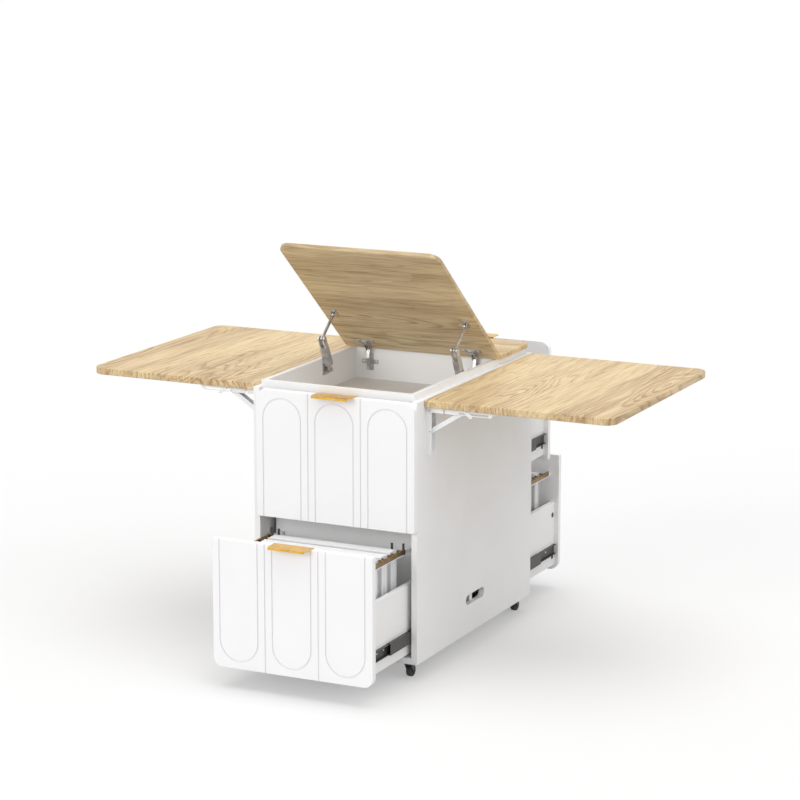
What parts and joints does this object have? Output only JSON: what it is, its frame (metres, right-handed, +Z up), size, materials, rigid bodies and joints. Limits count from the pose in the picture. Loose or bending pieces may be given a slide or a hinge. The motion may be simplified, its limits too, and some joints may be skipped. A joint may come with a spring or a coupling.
{
  "type": "fold-out desk cabinet",
  "caption": "Mobile cabinet that folds out into a desk: raised oak lid over a tray, hinged side leaves on brackets, drawers at both ends, casters below.",
  "frame": {"origin": "on the floor, under the middle of the carcass", "axes": "+X to the right leaf, +Y to the rear end, +Z up; the end with the tray's open side is the front"},
  "size_m": [1.436, 1.248, 1.0483],
  "materials": {
    "white": "satin white lacquered board",
    "oak": "matt oak",
    "bracket_white": "white powder coat",
    "gold": "brushed gold",
    "zinc": "zinc plated",
    "black_steel": "black coated steel",
    "bronze": "bronze coated steel",
    "paper": "smooth card",
    "black_plastic": "matt",
    "tread": "matt"
  },
  "bodies": {
    "carcass": {"side_left": "white", "side_right": "white", "bottom_panel": "white", "centre_divider": "white", "tray_walls": "white", "tray_floor": "white", "rear_board": "oak", "slide_outers_front": "black_steel", "slide_outers_rear": "black_steel", "bracket_legs_left": "bracket_white", "bracket_legs_right": "bracket_white", "hinge_arms": "zinc", "stay_clips": "zinc", "caster_plates": "black_plastic"},
    "lid": {"lid_board": "oak", "lid_fittings": "zinc"},
    "stay_body_left": {"stay_body_left": "zinc"},
    "stay_arm_left": {"stay_arm_left": "zinc"},
    "stay_body_right": {"stay_body_right": "zinc"},
    "stay_arm_right": {"stay_arm_right": "zinc"},
    "leaf_left": {"leaf_left": "oak", "leaf_arms_left": "bracket_white"},
    "braces_left": {"braces_left": "bracket_white"},
    "levers_left": {"levers_left": "bracket_white"},
    "leaf_right": {"leaf_right": "oak", "leaf_arms_right": "bracket_white"},
    "braces_right": {"braces_right": "bracket_white"},
    "levers_right": {"levers_right": "bracket_white"},
    "drawer_front_up": {"front_up_panel": "white", "front_up_box": "white", "front_up_handle": "gold", "front_up_runners": "black_steel"},
    "mids_front_up": {"front_up_mids": "black_steel"},
    "drawer_front_low": {"front_low_panel": "white", "front_low_box": "white", "front_low_handle": "gold", "front_low_runners": "black_steel", "front_low_rails": "bracket_white", "front_low_files": "paper"},
    "mids_front_low": {"front_low_mids": "black_steel"},
    "drawer_rear_up": {"rear_up_panel": "white", "rear_up_box": "white", "rear_up_handle": "gold", "rear_up_runners": "black_steel"},
    "mids_rear_up": {"rear_up_mids": "black_steel"},
    "drawer_rear_low": {"rear_low_panel": "white", "rear_low_box": "white", "rear_low_handle": "gold", "rear_low_runners": "black_steel", "rear_low_rails": "bracket_white", "rear_low_files": "paper"},
    "mids_rear_low": {"rear_low_mids": "black_steel"},
    "caster_fl": {"caster_fl": "black_plastic"},
    "wheel_fl": {"wheel_fl": "tread"},
    "caster_fr": {"caster_fr": "black_plastic"},
    "wheel_fr": {"wheel_fr": "tread"},
    "caster_rl": {"caster_rl": "black_plastic"},
    "wheel_rl": {"wheel_rl": "tread"},
    "caster_rr": {"caster_rr": "black_plastic"},
    "wheel_rr": {"wheel_rr": "tread"}
  },
  "joints": [
    {"name": "lid_hinge", "type": "hinge", "parent": "carcass", "child": "lid", "pos_m": [0, 0.147, 0.7155], "axis": [-1, 0, 0], "range_deg": [-40, 5]},
    {"name": "stay_body_left_pivot", "type": "hinge", "parent": "carcass", "child": "stay_body_left", "pos_m": [-0.187, -0.011, 0.689], "axis": [-1, 0, 0], "range_deg": [-62.9, 7.9]},
    {"name": "stay_arm_left_pivot", "type": "hinge", "parent": "lid", "child": "stay_arm_left", "pos_m": [-0.187, 0.00795, 0.82826], "axis": [-1, 0, 0], "range_deg": [-8, 63.5]},
    {"name": "stay_body_right_pivot", "type": "hinge", "parent": "carcass", "child": "stay_body_right", "pos_m": [0.187, -0.011, 0.689], "axis": [-1, 0, 0], "range_deg": [-62.9, 7.9]},
    {"name": "stay_arm_right_pivot", "type": "hinge", "parent": "lid", "child": "stay_arm_right", "pos_m": [0.187, 0.00795, 0.82826], "axis": [-1, 0, 0], "range_deg": [-8, 63.5]},
    {"name": "leaf_left_hinge", "type": "hinge", "parent": "carcass", "child": "leaf_left", "pos_m": [-0.235, 0.015, 0.677], "axis": [0, -1, 0], "range_deg": [0, 90]},
    {"name": "braces_left_pivot", "type": "hinge", "parent": "carcass", "child": "braces_left", "pos_m": [-0.235, 0.015, 0.624], "axis": [0, -1, 0], "range_deg": [0, 123]},
    {"name": "levers_left_pivot", "type": "hinge", "parent": "leaf_left", "child": "levers_left", "pos_m": [-0.33062, 0.015, 0.6825], "axis": [0, 1, 0], "range_deg": [0, 15], "stiffness_Nm_per_rad": 0.05, "springref_deg": -11.46},
    {"name": "leaf_right_hinge", "type": "hinge", "parent": "carcass", "child": "leaf_right", "pos_m": [0.235, 0.015, 0.677], "axis": [0, 1, 0], "range_deg": [0, 90]},
    {"name": "braces_right_pivot", "type": "hinge", "parent": "carcass", "child": "braces_right", "pos_m": [0.235, 0.015, 0.624], "axis": [0, 1, 0], "range_deg": [0, 123]},
    {"name": "levers_right_pivot", "type": "hinge", "parent": "leaf_right", "child": "levers_right", "pos_m": [0.33062, 0.015, 0.6825], "axis": [0, -1, 0], "range_deg": [0, 15], "stiffness_Nm_per_rad": 0.05, "springref_deg": -11.46},
    {"name": "front_up_slide", "type": "slide", "parent": "carcass", "child": "drawer_front_up", "axis": [0, -1, 0], "range_m": [0, 0.3]},
    {"name": "front_up_mids_slide", "type": "slide", "parent": "carcass", "child": "mids_front_up", "axis": [0, -1, 0], "range_m": [0, 0.15]},
    {"name": "front_low_slide", "type": "slide", "parent": "carcass", "child": "drawer_front_low", "axis": [0, -1, 0], "range_m": [-0.228, 0.072]},
    {"name": "front_low_mids_slide", "type": "slide", "parent": "carcass", "child": "mids_front_low", "axis": [0, -1, 0], "range_m": [-0.114, 0.036]},
    {"name": "rear_up_slide", "type": "slide", "parent": "carcass", "child": "drawer_rear_up", "axis": [0, 1, 0], "range_m": [-0.149, 0.151]},
    {"name": "rear_up_mids_slide", "type": "slide", "parent": "carcass", "child": "mids_rear_up", "axis": [0, 1, 0], "range_m": [-0.0745, 0.0755]},
    {"name": "rear_low_slide", "type": "slide", "parent": "carcass", "child": "drawer_rear_low", "axis": [0, 1, 0], "range_m": [-0.228, 0.072]},
    {"name": "rear_low_mids_slide", "type": "slide", "parent": "carcass", "child": "mids_rear_low", "axis": [0, 1, 0], "range_m": [-0.114, 0.036]},
    {"name": "swivel_fl", "type": "hinge", "parent": "carcass", "child": "caster_fl", "pos_m": [-0.188, -0.322, 0.037], "axis": [0, 0, 1], "continuous": true},
    {"name": "roll_fl", "type": "hinge", "parent": "caster_fl", "child": "wheel_fl", "pos_m": [-0.188, -0.309, 0.015], "axis": [1, 0, 0], "continuous": true},
    {"name": "swivel_fr", "type": "hinge", "parent": "carcass", "child": "caster_fr", "pos_m": [0.188, -0.322, 0.037], "axis": [0, 0, 1], "continuous": true},
    {"name": "roll_fr", "type": "hinge", "parent": "caster_fr", "child": "wheel_fr", "pos_m": [0.188, -0.309, 0.015], "axis": [1, 0, 0], "continuous": true},
    {"name": "swivel_rl", "type": "hinge", "parent": "carcass", "child": "caster_rl", "pos_m": [-0.188, 0.322, 0.037], "axis": [0, 0, 1], "continuous": true},
    {"name": "roll_rl", "type": "hinge", "parent": "caster_rl", "child": "wheel_rl", "pos_m": [-0.188, 0.335, 0.015], "axis": [1, 0, 0], "continuous": true},
    {"name": "swivel_rr", "type": "hinge", "parent": "carcass", "child": "caster_rr", "pos_m": [0.188, 0.322, 0.037], "axis": [0, 0, 1], "continuous": true},
    {"name": "roll_rr", "type": "hinge", "parent": "caster_rr", "child": "wheel_rr", "pos_m": [0.188, 0.335, 0.015], "axis": [1, 0, 0], "continuous": true}
  ],
  "couplings": [
    {"joint": "stay_body_left_pivot", "follows": "lid_hinge", "ratio": 1.5713},
    {"joint": "stay_arm_left_pivot", "follows": "lid_hinge", "ratio": -1.5864},
    {"joint": "stay_body_right_pivot", "follows": "lid_hinge", "ratio": 1.5713},
    {"joint": "stay_arm_right_pivot", "follows": "lid_hinge", "ratio": -1.5864},
    {"joint": "braces_left_pivot", "follows": "leaf_left_hinge", "ratio": 1.3596},
    {"joint": "braces_right_pivot", "follows": "leaf_right_hinge", "ratio": 1.3596},
    {"joint": "front_up_mids_slide", "follows": "front_up_slide", "ratio": 0.5},
    {"joint": "front_low_mids_slide", "follows": "front_low_slide", "ratio": 0.5},
    {"joint": "rear_up_mids_slide", "follows": "rear_up_slide", "ratio": 0.5},
    {"joint": "rear_low_mids_slide", "follows": "rear_low_slide", "ratio": 0.5}
  ]
}
